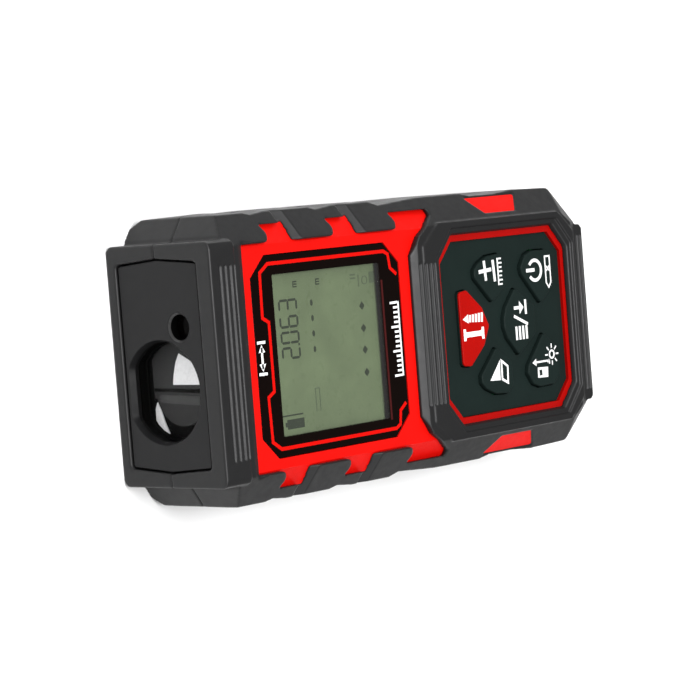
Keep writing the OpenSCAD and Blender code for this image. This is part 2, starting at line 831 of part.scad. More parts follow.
// The battery door, swinging on pegs at its rear end.
module battery_door() color([0.86, 0.05, 0.05]) {
    difference() {
        union() {
            block(-door_x + door_gap, door_x - door_gap, hinge_y, bay_front_y, back_z, door_top_z);
            translate([-door_x + door_gap, hinge_y, hinge_z]) rotate([0, 90, 0])
                cylinder(h = 2 * (door_x - door_gap), r = knuckle_r, $fn = round_n);
            // Snap lip at the free end, and two stiffening ribs.
            block(-4, 4, bay_front_y - 1.3, bay_front_y - 0.5, door_top_z - 0.1, door_top_z + 2.4);
            for (x = [-0.5, -9.9, 9.1]) block(x, x + 0.8, -44, -6, door_top_z - 0.1, door_top_z + 0.15);
        }
        // Grip lines at the free end.
        for (k = [0:3]) groove(-5 - 1.6 * k, 6, back_z);
    }
    translate([-door_x - 1.8, hinge_y, hinge_z]) rotate([0, 90, 0])
        cylinder(h = 2 * door_x + 3.6, r = peg_r, $fn = round_n);
}

// One AAA cell along Y with its button at y_button; way is 1 when the button faces +Y.
module cell(x, y_button, way) {
    y_can = y_button - way * 1;
    y_foot = y_button - way * cell_l;
    rod_y(x, cell_z, min(y_can, y_foot), max(y_can, y_foot), cell_d / 2);
    rod_y(x, cell_z, min(y_can - 0.01 * way, y_button), max(y_can - 0.01 * way, y_button), 1.9);
}

left_button_y = bay_front_y - contact_t;
right_button_y = bay_rear_y + contact_t;
module battery_cell_left() color([0.2, 0.35, 0.2]) cell(-cell_x, left_button_y, 1);
module battery_cell_right() color([0.2, 0.35, 0.2]) cell(cell_x, right_button_y, -1);

// Spring pressed between y0 and y1, wound about the cell's axis.
module coil_spring(x, y0, y1) {
    turns = 3;
    steps = 16;
    wire_r = 0.25;
    path = [
        for (i = [0:turns * steps])
            let (t = i / (turns * steps), a = 360 * i / steps, r = 3.2 - 1.2 * t)
            [x + r * cos(a), y0 + wire_r + 0.02 + (y1 - y0 - 2 * wire_r - 0.04) * t, cell_z + r * sin(a)]
    ];
    tube(path, wire_r, 8);
}

module battery_springs() color([0.8, 0.8, 0.82]) {
    coil_spring(-cell_x, bay_rear_y + contact_t, left_button_y - cell_l);
    translate([0, bay_front_y + bay_rear_y, 0]) mirror([0, 1, 0])
        coil_spring(cell_x, bay_rear_y + contact_t, bay_front_y + bay_rear_y - right_button_y - cell_l);
}

module front_contacts() color([0.8, 0.8, 0.82]) {
    for (s = [-1, 1])
        block(s * cell_x - 4, s * cell_x + 4, bay_front_y - contact_t, bay_front_y, 4.2, 12.4);
}

module rear_contact() color([0.8, 0.8, 0.82]) {
    block(-bay_x + 0.6, bay_x - 0.6, bay_rear_y, bay_rear_y + contact_t, 4.6, 12.4);
}

module housing_screws() color([0.3, 0.3, 0.32]) {
    for (p = screw_spots) screw(p[0], p[1], screw_seat_z, screw_head_r, screw_head_h, screw_r, 19, 0.7);
}

// Blank rating plate on the back.
module rating_label() color([0.8, 0.8, 0.8]) {
    block(-16, 16, 8, 36, back_z - 0.15, back_z);
}

front_shell();
rear_shell();
front_overmould();
rear_overmould();
nose_plate();
display_window();
window_gasket();
lcd_glass();
lcd_backlight();
lcd_frame();
lcd_connector();
keypad_mat();
measure_key();
units_key();
power_key();
memory_key();
area_key();
reference_key();
key_domes();
main_board();
board_chips();
board_passives();
board_screws();
buzzer();
optics_block();
receiver_lens();
lens_ring();
photodiode();
photodiode_board();
board_link_pins();
laser_barrel();
collimator_lens();
laser_diode();
emitter_window();
optics_screws();
battery_door();
battery_cell_left();
battery_cell_right();
battery_springs();
front_contacts();
rear_contact();
housing_screws();
rating_label();
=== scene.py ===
"""Looks of the laser distance meter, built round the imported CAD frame.

Places and sizes are in millimetres, and MM turns them into Blender's metres.
"""
import math

import bmesh
import bpy
import numpy
from mathutils import Matrix, Vector


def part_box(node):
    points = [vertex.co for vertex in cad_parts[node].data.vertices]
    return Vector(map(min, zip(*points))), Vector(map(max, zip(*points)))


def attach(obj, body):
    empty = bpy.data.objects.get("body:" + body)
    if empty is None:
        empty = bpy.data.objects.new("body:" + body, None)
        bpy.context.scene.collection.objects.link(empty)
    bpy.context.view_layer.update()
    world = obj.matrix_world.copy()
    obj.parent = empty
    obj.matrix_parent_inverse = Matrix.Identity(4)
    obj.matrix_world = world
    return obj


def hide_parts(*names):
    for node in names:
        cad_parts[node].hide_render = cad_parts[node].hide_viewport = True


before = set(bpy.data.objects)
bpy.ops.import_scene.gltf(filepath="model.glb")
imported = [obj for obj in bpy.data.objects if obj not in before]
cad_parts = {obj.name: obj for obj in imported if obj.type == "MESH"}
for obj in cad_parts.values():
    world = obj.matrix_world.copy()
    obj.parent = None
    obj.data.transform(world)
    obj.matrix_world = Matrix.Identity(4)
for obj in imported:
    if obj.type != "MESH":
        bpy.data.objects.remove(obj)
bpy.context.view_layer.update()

MM = 0.001
HOUSING = "housing"


# ---------------------------------------------------------------- geometry helpers

def box_mm(node):
    """Lowest and highest corner of a CAD node, in millimetres."""
    low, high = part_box(node)
    return Vector(low) / MM, Vector(high) / MM


def add_object(name, mesh, material, body, stands_for=()):
    """Puts a finished mesh in the scene as a piece of the object."""
    piece = bpy.data.objects.new(name, mesh)
    bpy.context.scene.collection.objects.link(piece)
    mesh.materials.clear()
    mesh.materials.append(material)
    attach(piece, body)
    if stands_for:
        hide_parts(*stands_for)
    return piece


def evaluated_mesh(piece):
    """The mesh of an object with its modifiers applied."""
    graph = bpy.context.evaluated_depsgraph_get()
    return bpy.data.meshes.new_from_object(piece.evaluated_get(graph))


def clean(mesh, smooth_angle=30, flat_axis=None):
    """Joins doubled points, makes the normals agree and shades all but the sharp edges smooth.

    The rims of the faces that lie flat across flat_axis are kept sharp as well.
    """
    bm = bmesh.new()
    bm.from_mesh(mesh)
    bmesh.ops.remove_doubles(bm, verts=bm.verts, dist=0.0005 * MM)
    bmesh.ops.dissolve_degenerate(bm, dist=0.001 * MM, edges=bm.edges)
    bmesh.ops.recalc_face_normals(bm, faces=bm.faces)
    bm.to_mesh(mesh)
    bm.free()
    mesh.shade_smooth()
    mesh.set_sharp_from_angle(angle=math.radians(smooth_angle))
    if flat_axis is not None:
        bm = bmesh.new()
        bm.from_mesh(mesh)
        bm.normal_update()
        for edge in bm.edges:
            if len({abs(face.normal[flat_axis]) > 0.9999 for face in edge.link_faces}) > 1:
                edge.smooth = False
        bm.to_mesh(mesh)
        bm.free()
    return mesh


def softened(node, voxel, passes):
    """A moulded copy of a CAD node: remeshed, so that its edges can be rounded by smoothing."""
    mesh = clean(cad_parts[node].data.copy())
    copy = bpy.data.objects.new("soft", mesh)
    bpy.context.scene.collection.objects.link(copy)
    remesh = copy.modifiers.new("remesh", "REMESH")
    remesh.mode = "VOXEL"
    remesh.voxel_size = voxel * MM
    smooth = copy.modifiers.new("smooth", "SMOOTH")
    smooth.factor = 0.5
    smooth.iterations = passes
    result = evaluated_mesh(copy)
    bpy.data.objects.remove(copy)
    result.shade_smooth()
    return result


def scored(mesh, lines, width, depth):
    """Presses narrow grooves into the upward faces of a mesh, along ((x, y), (x, y)) lines."""
    count = len(mesh.vertices)
    places, normals = numpy.empty(3 * count), numpy.empty(3 * count)
    mesh.vertices.foreach_get("co", places)
    mesh.vertices.foreach_get("normal", normals)
    places, upward = places.reshape(-1, 3), normals.reshape(-1, 3)[:, 2] > 0.5
    spots = places[:, :2] / MM
    for a, b in numpy.array(lines, dtype=float):
        along = (b - a) / numpy.linalg.norm(b - a)
        reach = (spots - a) @ along
        gap = numpy.linalg.norm(spots - a - numpy.outer(reach, along), axis=1)
        near = upward & (reach > 0) & (reach < numpy.linalg.norm(b - a)) & (gap < width / 2)
        places[near, 2] -= depth * MM * (1 - (2 * gap[near] / width) ** 2)
    mesh.vertices.foreach_set("co", places.ravel())
    mesh.update()
    return mesh


def thinned(mesh, keep):
    """The same mesh with only that share of its faces."""
    source = bpy.data.objects.new("thin", mesh)
    bpy.context.scene.collection.objects.link(source)
    source.modifiers.new("thin", "DECIMATE").ratio = keep
    result = evaluated_mesh(source)
    bpy.data.objects.remove(source)
    result.shade_smooth()
    return result


def plate(loops, low, high, edge=0.0, up="Z"):
    """A flat plate between two levels along up, its rims rounded by edge.

    The first outline is the outside and the rest are holes.
    """
    curve = bpy.data.curves.new("plate", "CURVE")
    curve.dimensions = "2D"
    curve.fill_mode = "BOTH"
    curve.extrude = max((high - low) / 2 - edge, 0.001)
    curve.bevel_depth = edge
    curve.bevel_resolution = 3
    curve.offset = -edge
    for loop in loops:
        spline = curve.splines.new("POLY")
        spline.points.add(len(loop) - 1)
        spline.use_cyclic_u = True
        for point, (x, y) in zip(spline.points, loop):
            point.co = (x, y, 0, 1)
    source = bpy.data.objects.new("plate", curve)
    bpy.context.scene.collection.objects.link(source)
    mesh = evaluated_mesh(source)
    bpy.data.objects.remove(source)
    mesh.transform(Matrix.Translation((0, 0, (low + high) / 2)))
    if up == "Y":
        mesh.transform(Matrix(((1, 0, 0, 0), (0, 0, 1, 0), (0, 1, 0, 0), (0, 0, 0, 1))))
    mesh.transform(Matrix.Scale(MM, 4))
    return clean(mesh, 30, "XYZ".index(up))


def joined(meshes):
    """One mesh made of several."""
    bm = bmesh.new()
    for mesh in meshes:
        bm.from_mesh(mesh)
    result = bpy.data.meshes.new("joined")
    bm.to_mesh(result)
    bm.free()
    result.shade_smooth()
    result.set_sharp_from_angle(angle=math.radians(30))
    return result


def sleeve(bands):
    """A closed ring through a cycle of (outline in x and z, y) bands, all with the same number of points."""
    bm = bmesh.new()
    rows = [[bm.verts.new((x * MM, y * MM, z * MM)) for x, z in outline] for outline, y in bands]
    for row, after in zip(rows, rows[1:] + rows[:1]):
        for k in range(len(row)):
            n = (k + 1) % len(row)
            bm.faces.new((row[k], row[n], after[n], after[k]))
    mesh = bpy.data.meshes.new("sleeve")
    bm.to_mesh(mesh)
    bm.free()
    return clean(mesh, 25)


def dome(outline, centre, back, rim, crown):
    """A lens: an outline in x and z about centre, flat at y = back, its face rising from rim to crown."""
    cx, cz = centre
    bm = bmesh.new()
    rings = 8
    rows = [[bm.verts.new((x * MM, back * MM, z * MM)) for x, z in outline]]
    for k in range(rings):
        t = 1 - k / rings
        y = rim + (crown - rim) * (1 - t * t)
        rows.append([bm.verts.new(((cx + (x - cx) * t) * MM, y * MM, (cz + (z - cz) * t) * MM))
                     for x, z in outline])
    top = bm.verts.new((cx * MM, crown * MM, cz * MM))
    bm.faces.new(rows[0])
    for row, after in zip(rows, rows[1:]):
        for k in range(len(row)):
            n = (k + 1) % len(row)
            bm.faces.new((row[k], row[n], after[n], after[k]))
    for k in range(len(rows[-1])):
        bm.faces.new((rows[-1][k], rows[-1][(k + 1) % len(rows[-1])], top))
    mesh = bpy.data.meshes.new("dome")
    bm.to_mesh(mesh)
    bm.free()
    return clean(mesh, 40)


def arc(cx, cy, r, start, end, steps=24):
    """Points along an arc, angles in degrees."""
    return [(cx + r * math.cos(math.radians(start + (end - start) * k / steps)),
             cy + r * math.sin(math.radians(start + (end - start) * k / steps))) for k in range(steps + 1)]


def circle(cx, cy, r, steps=64):
    return arc(cx, cy, r, 0, 360, steps)[:-1]


def rounded(points, r, steps=6):
    """An outline with every corner turned into an arc of radius r."""
    result = []
    for i, point in enumerate(points):
        p = Vector(point)
        a = (Vector(points[i - 1]) - p).normalized()
        b = (Vector(points[(i + 1) % len(points)]) - p).normalized()
        half = a.angle(b) / 2
        centre = p + (a + b).normalized() * r / math.sin(half)
        u = p + a * r / math.tan(half) - centre
        v = p + b * r / math.tan(half) - centre
        sweep = u.angle(v)
        for k in range(steps + 1):
            t = k / steps
            q = centre + (u * math.sin(sweep * (1 - t)) + v * math.sin(sweep * t)) / math.sin(sweep)
            result.append((q.x, q.y))
    return result


def stroke(points, width):
    """The outline of an open line drawn with that width, with mitred corners."""
    sides = {1: [], -1: []}
    for i, point in enumerate(points):
        p = Vector(point)
        ways = []
        if i > 0:
            ways.append((p - Vector(points[i - 1])).normalized())
        if i < len(points) - 1:
            ways.append((Vector(points[i + 1]) - p).normalized())
        normals = [Vector((-w.y, w.x)) for w in ways]
        n = sum(normals, Vector((0, 0))).normalized()
        reach = width / 2 / n.dot(normals[0])
        for side in sides:
            q = p + n * reach * side
            sides[side].append((q.x, q.y))
    return sides[1] + sides[-1][::-1]


def grown(points, g):
    """An anticlockwise outline moved outwards by g."""
    result = []
    for i, point in enumerate(points):
        p = Vector(point)
        a = (p - Vector(points[i - 1])).normalized()
        b = (Vector(points[(i + 1) % len(points)]) - p).normalized()
        n = Vector((a.y + b.y, -a.x - b.x)) * g / (1 + a.dot(b))
        result.append((p.x + n.x, p.y + n.y))
    return result


def moved(points, dx, dy, turn=0, size=1):
    """An outline turned by degrees, scaled, then moved."""
    c, s = math.cos(math.radians(turn)) * size, math.sin(math.radians(turn)) * size
    return [(dx + c * x - s * y, dy + s * x + c * y) for x, y in points]


# ---------------------------------------------------------------- materials

class Nodes:
    """A small wrapper that builds one node material."""

    def __init__(self, name):
        self.material = bpy.data.materials.new(name)
        self.material.use_nodes = True
        self.tree = self.material.node_tree
        self.shader = self.tree.nodes["Principled BSDF"]
        self.place = self.add("ShaderNodeTexCoord").outputs["Object"]

    def add(self, kind, **inputs):
        node = self.tree.nodes.new(kind)
        for key, value in inputs.items():
            node.inputs[key.replace("_", " ")].default_value = value
        return node

    def link(self, a, b):
        self.tree.links.new(a, b)

    def set(self, **inputs):
        for key, value in inputs.items():
            self.shader.inputs[key.replace("_", " ")].default_value = value

    def noise(self, size_mm, detail=2.0, roughness=0.5):
        """Noise whose features are about size_mm wide, from 0 to 1."""
        node = self.add("ShaderNodeTexNoise", Scale=1 / (size_mm * MM), Detail=detail, Roughness=roughness)
        self.link(self.place, node.inputs["Vector"])
        return node.outputs["Fac"]

    def ramp(self, source, stops):
        """A colour ramp with [(position, colour)] stops."""
        node = self.add("ShaderNodeValToRGB")
        self.link(source, node.inputs["Fac"])
        while len(node.color_ramp.elements) < len(stops):
            node.color_ramp.elements.new(0.5)
        for element, (position, colour) in zip(node.color_ramp.elements, stops):
            element.position = position
            element.color = (*colour, 1)
        return node.outputs["Color"]

    def spread(self, source, low, high):
        """Maps 0..1 noise to low..high."""
        node = self.add("ShaderNodeMapRange")
        node.inputs["From Min"].default_value = 0.3
        node.inputs["From Max"].default_value = 0.7
        node.inputs["To Min"].default_value = low
        node.inputs["To Max"].default_value = high
        self.link(source, node.inputs["Value"])
        return node.outputs["Result"]

    def mix(self, factor, a, b, blend="MIX"):
        node = self.add("ShaderNodeMix")
        node.data_type = "RGBA"
        node.blend_type = blend
        for socket, value in zip((node.inputs[0], node.inputs[6], node.inputs[7]), (factor, a, b)):
            if isinstance(value, bpy.types.NodeSocket):
                self.link(value, socket)
            elif isinstance(value, tuple):
                socket.default_value = (*value, 1)
            else:
                socket.default_value = value
        return node.outputs[2]

    def bump(self, layers):
        """Chains bumps of [(height source, depth in mm, strength)]."""
        normal = None
        for source, depth, strength in layers:
            node = self.add("ShaderNodeBump", Strength=strength, Distance=depth * MM)
            self.link(source, node.inputs["Height"])
            if normal:
                self.link(normal, node.inputs["Normal"])
            normal = node.outputs["Normal"]
        self.link(normal, self.shader.inputs["Normal"])


def scaled(colour, k):
    return tuple(min(1.0, c * k) for c in colour)


def moulded(name, colour, rough, grain=0.25, depth=0.02, specular=0.5):
    """Moulded plastic or rubber: spark-eroded grain and faint flow mottling."""
    n = Nodes(name)
    grain_noise = n.noise(grain, 2, 0.6)
    flow = n.ramp(n.noise(9, 3), [(0.3, scaled(colour, 0.93)), (0.7, scaled(colour, 1.06))])
    fine = n.ramp(grain_noise, [(0.3, (0.9, 0.9, 0.9)), (0.7, (1, 1, 1))])
    n.link(n.mix(1.0, flow, fine, "MULTIPLY"), n.shader.inputs["Base Color"])
    n.link(n.spread(n.noise(1.6, 2), rough - 0.04, rough + 0.05), n.shader.inputs["Roughness"])
    n.bump([(grain_noise, depth, 0.5), (n.noise(14, 2), depth * 3, 0.25)])
    n.set(Specular_IOR_Level=specular)
    return n.material


def masked(material, source, bands, colour, blend="MIX"):
    """Blends a colour into a material where every (axis, outside, inside) band of a coordinate is met.

    A band rises from nothing where the coordinate is at outside to all where it is at inside.
    """
    tree = material.node_tree
    shader = tree.nodes["Principled BSDF"]
    split = tree.nodes.new("ShaderNodeSeparateXYZ")
    tree.links.new(tree.nodes["Texture Coordinate"].outputs[source], split.inputs["Vector"])
    amount = None
    for axis, outside, inside in bands:
        step = tree.nodes.new("ShaderNodeMapRange")
        step.inputs["From Min"].default_value = outside
        step.inputs["From Max"].default_value = inside
        tree.links.new(split.outputs[axis], step.inputs["Value"])
        share = step.outputs["Result"]
        if amount is not None:
            both = tree.nodes.new("ShaderNodeMath")
            both.operation = "MULTIPLY"
            tree.links.new(amount, both.inputs[0])
            tree.links.new(share, both.inputs[1])
            share = both.outputs[0]
        amount = share
    mix = tree.nodes.new("ShaderNodeMix")
    mix.data_type = "RGBA"
    mix.blend_type = blend
    mix.inputs[7].default_value = (*colour, 1)
    tree.links.new(amount, mix.inputs[0])
    tree.links.new(shader.inputs["Base Color"].links[0].from_socket, mix.inputs[6])
    tree.links.new(mix.outputs[2], shader.inputs["Base Color"])
    return material


def ink_or_shade_coat(name, colour, rough=0.5, specular=0.1):
    """Printed ink, or a painted shade laid on like ink: slightly uneven cover."""
    n = Nodes(name)
    cover = n.ramp(n.noise(0.3, 3), [(0.35, scaled(colour, 0.9)), (0.6, colour)])
    n.link(cover, n.shader.inputs["Base Color"])
    n.link(n.spread(n.noise(0.5), rough - 0.05, rough + 0.05), n.shader.inputs["Roughness"])
    n.bump([(n.noise(0.15), 0.004, 0.4)])
    n.set(Specular_IOR_Level=specular)
    return n.material


def metal(name, colour, rough=0.3, along=(1, 1, 12)):
    """Metal with fine machining lines."""
    n = Nodes(name)
    stretch = n.add("ShaderNodeMapping")
    stretch.inputs["Scale"].default_value = along
    n.link(n.place, stretch.inputs["Vector"])
    lines = n.add("ShaderNodeTexNoise", Scale=900.0, Detail=3.0)
    n.link(stretch.outputs["Vector"], lines.inputs["Vector"])
    n.link(n.ramp(lines.outputs["Fac"], [(0.3, scaled(colour, 0.8)), (0.7, scaled(colour, 1.05))]),
           n.shader.inputs["Base Color"])
    n.link(n.spread(lines.outputs["Fac"], rough - 0.08, rough + 0.1), n.shader.inputs["Roughness"])
    n.bump([(lines.outputs["Fac"], 0.01, 0.3)])
    n.set(Metallic=1.0)
    return n.material


def clear(name, colour, alpha, rough=0.03, specular=0.3):
    """A clear or tinted pane or lens with a thin haze of dust."""
    n = Nodes(name)
    dust = n.noise(0.5, 4, 0.7)
    n.link(n.ramp(dust, [(0.5, colour), (0.9, scaled(colour, 1.3))]), n.shader.inputs["Base Color"])
    n.link(n.spread(dust, rough, rough + 0.03), n.shader.inputs["Roughness"])
    n.set(Alpha=alpha, IOR=1.5, Specular_IOR_Level=specular)
    return n.material


# Painted highlight: the rubber's forward-sloping upper faces are painted paler, standing in for the light
# they catch from the top softbox.
PAINTED_HIGHLIGHT_BANDS = (("Y", 0.28, 0.44), ("Z", 0.55, 0.7))
MAT_RUBBER = masked(moulded("armour rubber, painted highlight", (0.0098, 0.0098, 0.0102), 0.44, 0.24, 0.018, 0.25),
                    "Normal", PAINTED_HIGHLIGHT_BANDS, (0.028, 0.028, 0.029))

# Painted shade: the red rim inside the keypad opening is darkened to half, standing in for the shade of the
# rubber lip that keeps light off it.
RED = (0.70, 0.0045, 0.0025)
RIM_X, RIM_FRONT, RIM_FADE = 21.0, -9.2, 0.4
RIM_SHADE_BANDS = (("X", (RIM_X + RIM_FADE) * MM, RIM_X * MM), ("X", -(RIM_X + RIM_FADE) * MM, -RIM_X * MM),
             ("Y", (RIM_FRONT + RIM_FADE) * MM, RIM_FRONT * MM))
MAT_RED = moulded("red shell plastic", RED, 0.38, 0.3, 0.008, 0.07)
MAT_RED_RIM_SHADE = masked(moulded("red shell plastic, front, painted rim shade", RED, 0.38, 0.3, 0.008, 0.07),
                       "Object", RIM_SHADE_BANDS, (0.5, 0.5, 0.5), "MULTIPLY")

MAT_NOSE = moulded("nose plastic", (0.0105, 0.0105, 0.011), 0.42, 0.22, 0.010, 0.15)
# Painted shade: a darker copy of the nose plastic for the recessed bevel inside the receiver hole.
MAT_NOSE_SHADED = moulded("nose plastic, recess, painted shade", (0.0085, 0.0085, 0.009), 0.45, 0.22, 0.010, 0.1)
MAT_KEY = moulded("key silicone", (0.0082, 0.0150, 0.0135), 0.46, 0.2, 0.008, 0.07)
MAT_KEY_RED = moulded("red key silicone", (0.37, 0.0020, 0.0006), 0.42, 0.2, 0.008, 0.07)
MAT_OPTIC = moulded("optic black", (0.0018, 0.0018, 0.0018), 0.5, 0.5, 0.002, 0.03)
MAT_TUBE = moulded("optic tube", (0.0042, 0.0042, 0.0043), 0.5, 0.5, 0.004, 0.05)
MAT_FIELD = moulded("lens backing", (0.034, 0.034, 0.034), 0.4, 0.6, 0.002, 0.08)
MAT_BAND = moulded("lens band", (0.062, 0.062, 0.062), 0.35, 0.6, 0.002, 0.1)
# Painted highlight: a paler copy of the nose plastic for the bevel round the emitter outlet.
MAT_OUTLET_HIGHLIGHT = moulded("outlet bevel, painted highlight", (0.026, 0.026, 0.026), 0.3, 0.6, 0.002, 0.3)
MAT_PANEL = moulded("panel gloss black", (0.0035, 0.0016, 0.0012), 0.14, 0.6, 0.001, 0.04)
MAT_LCD = moulded("display glass", (0.098, 0.130, 0.068), 0.3, 6.0, 0.0005, 0.08)
MAT_WHITE = moulded("light guide", (0.75, 0.75, 0.72), 0.4, 0.3, 0.01)
MAT_BOARD = moulded("solder mask", (0.015, 0.13, 0.04), 0.35, 0.6, 0.01)
MAT_CHIP = moulded("chip epoxy", (0.02, 0.02, 0.02), 0.6, 0.15, 0.02)
MAT_CERAMIC = moulded("ceramic", (0.4, 0.3, 0.2), 0.5, 0.2, 0.02)
MAT_ZEBRA = moulded("connector rubber", (0.6, 0.4, 0.4), 0.6, 0.2, 0.02)
MAT_JACKET = moulded("cell sleeve", (0.05, 0.16, 0.07), 0.3, 0.8, 0.005)
MAT_LABEL = moulded("label film", (0.55, 0.55, 0.56), 0.4, 0.4, 0.006)
MAT_STEEL = metal("zinc steel", (0.62, 0.62, 0.64), 0.3)
MAT_BLACK_STEEL = metal("black screw steel", (0.07, 0.07, 0.075), 0.38)
MAT_SPRING = metal("nickel", (0.7, 0.7, 0.68), 0.22)
MAT_BRASS = metal("brass", (0.7, 0.5, 0.2), 0.3, (1, 12, 1))
MAT_GOLD = metal("gold plate", (0.8, 0.6, 0.25), 0.25)
# Painted reflection: bright white for the blocks that stand for the reflections seen in the receiver lens.
MAT_PAINTED_REFLECTION = moulded("painted reflection white", (0.92, 0.92, 0.93), 0.2, 0.6, 0.001, 0.6)
MAT_LENS = clear("lens glass", (0.10, 0.10, 0.10), 0.04, 0.03, 0.1)
MAT_TINTED = clear("outlet window", (0.0016, 0.0012, 0.0012), 0.985, 0.08, 0.02)
MAT_PANE = clear("display pane", (0.5, 0.5, 0.5), 0.02, 0.04, 0.1)
MAT_INK_WHITE = ink_or_shade_coat("white ink", (0.88, 0.88, 0.88))
MAT_INK_RED = ink_or_shade_coat("red ink", (0.60, 0.004, 0.002), 0.35, 0.05)
# Painted shade, laid on like ink: the dark red bar at the rear of the display border.
MAT_PAINTED_SHADE_RED = ink_or_shade_coat("dark red painted shade", (0.05, 0.006, 0.006), 0.35)
MAT_SEGMENT = ink_or_shade_coat("display segment", (0.018, 0.026, 0.014), 0.4)
MAT_SEGMENT_FAINT = ink_or_shade_coat("display segment, faint", (0.060, 0.081, 0.046), 0.4)

NODE_LOOKS = {
    "front_shell": MAT_RED_RIM_SHADE, "rear_shell": MAT_RED, "battery_door": MAT_RED,
    "nose_plate": MAT_NOSE, "window_gasket": MAT_OPTIC, "lcd_backlight": MAT_WHITE, "lcd_frame": MAT_WHITE,
    "lcd_connector": MAT_ZEBRA, "keypad_mat": MAT_KEY, "measure_key": MAT_KEY_RED,
    "units_key": MAT_KEY, "power_key": MAT_KEY, "memory_key": MAT_KEY, "area_key": MAT_KEY,
    "reference_key": MAT_KEY, "key_domes": MAT_STEEL, "main_board": MAT_BOARD, "board_chips": MAT_CHIP,
    "board_passives": MAT_CERAMIC, "board_screws": MAT_STEEL, "buzzer": MAT_CHIP, "optics_block": MAT_OPTIC,
    "receiver_lens": MAT_LENS, "lens_ring": MAT_OPTIC, "photodiode": MAT_GOLD, "photodiode_board": MAT_BOARD,
    "board_link_pins": MAT_GOLD, "laser_barrel": MAT_BRASS, "collimator_lens": MAT_LENS,
    "laser_diode": MAT_GOLD, "emitter_window": MAT_TINTED, "optics_screws": MAT_STEEL,
    "battery_cell_left": MAT_JACKET, "battery_cell_right": MAT_JACKET, "battery_springs": MAT_SPRING,
    "front_contacts": MAT_SPRING, "rear_contact": MAT_SPRING, "housing_screws": MAT_BLACK_STEEL,
    "rating_label": MAT_LABEL, "display_window": MAT_PANEL, "lcd_glass": MAT_LCD,
    "front_overmould": MAT_RUBBER, "rear_overmould": MAT_RUBBER,
}
for node, material in NODE_LOOKS.items():
    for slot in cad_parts[node].material_slots:
        slot.material = material


# ---------------------------------------------------------------- moulded edges

def ease_edges(node, width, angle=28):
    """Rounds the sharp edges of a CAD node with modifiers, so that they catch the light."""
    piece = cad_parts[node]
    weld = piece.modifiers.new("weld", "WELD")
    weld.merge_threshold = 0.001 * MM
    flat = piece.modifiers.new("flat", "DECIMATE")
    flat.decimate_type = "DISSOLVE"
    flat.angle_limit = math.radians(1)
    ease = piece.modifiers.new("ease", "BEVEL")
    ease.width = width * MM
    ease.segments = 2
    ease.limit_method = "ANGLE"
    ease.angle_limit = math.radians(angle)
    ease.harden_normals = False


EASED = {"front_shell": 0.28, "rear_shell": 0.28, "battery_door": 0.2, "rating_label": 0.05}
for node, width in EASED.items():
    ease_edges(node, width)

# Grooves across the front cap, the keypad ring and the rear block: reach to each side, and places along y.
RIBS = {18.7: (56.3, 54.9, 53.5, 52.0), 14.6: (-2.3, -3.8, -5.2, -6.5), 17: (-56.9, -58)}
RIB_WIDTH, RIB_DEPTH = 0.66, 0.36
KEPT_FACES = 0.4
ribs = [((-reach, y), (reach, y)) for reach, places in RIBS.items() for y in places]
front_armour = scored(softened("front_overmould", voxel=0.24, passes=5), ribs, RIB_WIDTH, RIB_DEPTH)
add_object("front_armour", thinned(front_armour, KEPT_FACES), MAT_RUBBER, HOUSING,
           ["front_overmould"])
rear_armour = softened("rear_overmould", voxel=0.28, passes=4)
add_object("rear_armour", thinned(rear_armour, KEPT_FACES), MAT_RUBBER, HOUSING, ["rear_overmould"])


# ---------------------------------------------------------------- shared shapes

def top_loops(node, axis=2):
    """Outlines of the flat face of a CAD node that is highest along an axis, the longest first."""
    bm = bmesh.new()
    bm.from_mesh(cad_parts[node].data)
    bmesh.ops.remove_doubles(bm, verts=bm.verts, dist=0.0005 * MM)
    top = max(v.co[axis] for v in bm.verts)
    flat = {f for f in bm.faces if all(abs(v.co[axis] - top) < 0.001 * MM for v in f.verts)}
    rim = [e for e in bm.edges if sum(f in flat for f in e.link_faces) == 1]
    after = {}
    for edge in rim:
        face = next(f for f in edge.link_faces if f in flat)
        corners = [loop.vert for loop in face.loops]
        a, b = edge.verts
        if corners[(corners.index(a) + 1) % len(corners)] != b:
            a, b = b, a
        after[a] = b
    loops = []
    while after:
        start = next(iter(after))
        chain = [start]
        step = after.pop(start)
        while step is not start:
            chain.append(step)
            step = after.pop(step)
        loops.append([(v.co.x / MM, v.co[3 - axis] / MM) for v in chain])
    bm.free()
    return sorted(loops, key=lambda pts: -sum(math.dist(p, q) for p, q in zip(pts, pts[1:] + pts[:1])))


def mirrored(points):
    """The same line carried on through its mirror image in x = 0."""
    return points + [(-x, y) for x, y in reversed(points)]


def rectangle(x0, x1, y0, y1):
    return [(x0, y0), (x1, y0), (x1, y1), (x0, y1)]


def bar(cx, cy, width, height, turn=0.0):
    """A rectangle about its own middle."""
    w, h = width / 2, height / 2
    return moved([(-w, -h), (w, -h), (w, h), (-w, h)], cx, cy, turn)


def ring(cx, cy, r, width, start, end, steps=48):
    """A band along an arc, as one outline."""
    return arc(cx, cy, r + width / 2, start, end, steps) + arc(cx, cy, r - width / 2, start, end, steps)[::-1]


def ink_or_shade_marks(name, shapes, at, z, material, body, thick=0.03):
    """Printed marks, or a painted shade, about the point at, lying on a face at height z.

    A shape is an outline, or a list of outlines of which all but the first are holes.
    """
    meshes = []
    for shape in shapes:
        loops = shape if isinstance(shape[0], list) else [shape]
        meshes.append(plate([[(x + at[0], y + at[1]) for x, y in loop] for loop in loops], z, z + thick))
    return add_object(name, joined(meshes), material, body)


# ---------------------------------------------------------------- display

